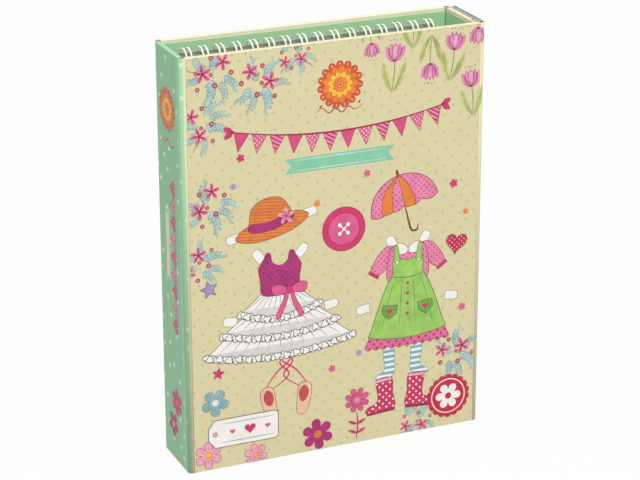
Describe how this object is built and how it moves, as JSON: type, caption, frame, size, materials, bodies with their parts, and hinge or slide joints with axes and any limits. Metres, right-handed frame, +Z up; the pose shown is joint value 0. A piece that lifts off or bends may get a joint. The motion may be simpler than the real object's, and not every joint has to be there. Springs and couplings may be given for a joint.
{
  "type": "paper doll kit in a book-style case",
  "caption": "Standing book-style card case with a magnetic closing flap, holding a wire-bound pad of paper clothes, card dolls with stands, sticker sheets and pencils.",
  "frame": {"origin": "bottom centre of the closed case, with the tops of the bindings counted in the box", "axes": "+Z up along the case's height, front cover faces -Y, spine on -X, closing flap on +X"},
  "size_m": [0.1616, 0.036, 0.2184],
  "materials": {
    "greyboard": "grey pressed board, fibrous",
    "cream_wrap": "cream printed paper with a soft satin varnish",
    "green_wrap": "green printed paper with white dots, satin varnish",
    "mint_crease": "green paper drawn over a rounded crease",
    "cream_crease": "cream paper drawn over a rounded crease",
    "green_lining": "plain green uncoated paper",
    "magnet": "nickel-plated disc",
    "white_wire": "white nylon-coated steel wire",
    "pad_cover": "printed card",
    "clothes_card": "white press-out card with printed clothes",
    "pocket_card": "folded cream card",
    "doll_card_one": "printed and die-cut card",
    "doll_card_two": "printed and die-cut card",
    "stand_card_one": "die-cut card",
    "stand_card_two": "die-cut card",
    "sticker_paper": "glossy kiss-cut sticker paper",
    "red_barrel": "painted cedar barrel with a sharpened cone",
    "red_lead": "waxy coloured lead",
    "orange_barrel": "painted cedar barrel with a sharpened cone",
    "orange_lead": "waxy coloured lead",
    "yellow_barrel": "painted cedar barrel with a sharpened cone",
    "yellow_lead": "waxy coloured lead",
    "green_barrel": "painted cedar barrel with a sharpened cone",
    "green_lead": "waxy coloured lead",
    "blue_barrel": "painted cedar barrel with a sharpened cone",
    "blue_lead": "waxy coloured lead",
    "purple_barrel": "painted cedar barrel with a sharpened cone",
    "purple_lead": "waxy coloured lead"
  },
  "bodies": {
    "case_back": {"back_board": "greyboard", "back_wrap": "cream_wrap", "back_lining": "green_lining", "back_crease": "mint_crease", "side_wall_board": "greyboard", "side_wall_wrap": "cream_wrap", "side_wall_lining": "green_lining", "side_wall_crease": "cream_crease", "side_wall_magnets": "magnet", "card_pocket": "pocket_card", "pencil_sleeve": "pocket_card"},
    "spine": {"spine_board": "greyboard", "spine_wrap": "green_wrap", "spine_lining": "green_lining", "front_crease": "mint_crease"},
    "front_cover": {"front_board": "greyboard", "front_wrap": "cream_wrap", "front_lining": "green_lining", "flap_crease": "cream_crease", "pad_ledge": "pocket_card"},
    "flap": {"flap_board": "greyboard", "flap_wrap": "green_wrap", "flap_lining": "green_lining", "flap_magnets": "magnet"},
    "pad": {"pad_wire": "white_wire", "pad_cover": "pad_cover", "pad_backing": "greyboard", "clothes_leaf_1": "clothes_card", "clothes_leaf_2": "clothes_card", "clothes_leaf_3": "clothes_card", "clothes_leaf_4": "clothes_card", "clothes_leaf_5": "clothes_card", "clothes_leaf_6": "clothes_card", "clothes_leaf_7": "clothes_card", "clothes_leaf_8": "clothes_card", "clothes_leaf_9": "clothes_card", "clothes_leaf_10": "clothes_card"},
    "first_doll": {"doll_one": "doll_card_one"},
    "second_doll": {"doll_two": "doll_card_two"},
    "first_stand": {"doll_stand_one": "stand_card_one"},
    "second_stand": {"doll_stand_two": "stand_card_two"},
    "front_stickers": {"sticker_sheet_one": "sticker_paper"},
    "back_stickers": {"sticker_sheet_two": "sticker_paper"},
    "pencil_1": {"pencil_1_barrel": "red_barrel", "pencil_1_lead": "red_lead"},
    "pencil_2": {"pencil_2_barrel": "orange_barrel", "pencil_2_lead": "orange_lead"},
    "pencil_3": {"pencil_3_barrel": "yellow_barrel", "pencil_3_lead": "yellow_lead"},
    "pencil_4": {"pencil_4_barrel": "green_barrel", "pencil_4_lead": "green_lead"},
    "pencil_5": {"pencil_5_barrel": "blue_barrel", "pencil_5_lead": "blue_lead"},
    "pencil_6": {"pencil_6_barrel": "purple_barrel", "pencil_6_lead": "purple_lead"}
  },
  "joints": [
    {"name": "spine_fold", "type": "hinge", "parent": "case_back", "child": "spine", "pos_m": [-0.08075, 0.018, 0.108], "axis": [0, 0, -1], "range_deg": [0, 90]},
    {"name": "cover_fold", "type": "hinge", "parent": "spine", "child": "front_cover", "pos_m": [-0.08075, -0.018, 0.108], "axis": [0, 0, -1], "range_deg": [0, 90]},
    {"name": "flap_fold", "type": "hinge", "parent": "front_cover", "child": "flap", "pos_m": [0.08075, -0.018, 0.108], "axis": [0, 0, -1], "range_deg": [0, 135]},
    {"name": "pad_lift", "type": "slide", "parent": "front_cover", "child": "pad", "axis": [0, 0, 1], "range_m": [0, 0.22]},
    {"name": "first_doll_lift", "type": "slide", "parent": "case_back", "child": "first_doll", "axis": [0, 0, 1], "range_m": [0, 0.22]},
    {"name": "second_doll_lift", "type": "slide", "parent": "case_back", "child": "second_doll", "axis": [0, 0, 1], "range_m": [0, 0.22]},
    {"name": "first_stand_lift", "type": "slide", "parent": "case_back", "child": "first_stand", "axis": [0, 0, 1], "range_m": [0, 0.22]},
    {"name": "second_stand_lift", "type": "slide", "parent": "case_back", "child": "second_stand", "axis": [0, 0, 1], "range_m": [0, 0.22]},
    {"name": "front_stickers_lift", "type": "slide", "parent": "case_back", "child": "front_stickers", "axis": [0, 0, 1], "range_m": [0, 0.22]},
    {"name": "back_stickers_lift", "type": "slide", "parent": "case_back", "child": "back_stickers", "axis": [0, 0, 1], "range_m": [0, 0.22]},
    {"name": "pencil_1_lift", "type": "slide", "parent": "case_back", "child": "pencil_1", "axis": [0, 0, 1], "range_m": [0, 0.22]},
    {"name": "pencil_2_lift", "type": "slide", "parent": "case_back", "child": "pencil_2", "axis": [0, 0, 1], "range_m": [0, 0.22]},
    {"name": "pencil_3_lift", "type": "slide", "parent": "case_back", "child": "pencil_3", "axis": [0, 0, 1], "range_m": [0, 0.22]},
    {"name": "pencil_4_lift", "type": "slide", "parent": "case_back", "child": "pencil_4", "axis": [0, 0, 1], "range_m": [0, 0.22]},
    {"name": "pencil_5_lift", "type": "slide", "parent": "case_back", "child": "pencil_5", "axis": [0, 0, 1], "range_m": [0, 0.22]},
    {"name": "pencil_6_lift", "type": "slide", "parent": "case_back", "child": "pencil_6", "axis": [0, 0, 1], "range_m": [0, 0.22]}
  ],
  "couplings": [
    {"joint": "spine_fold", "follows": "cover_fold", "ratio": 1}
  ]
}
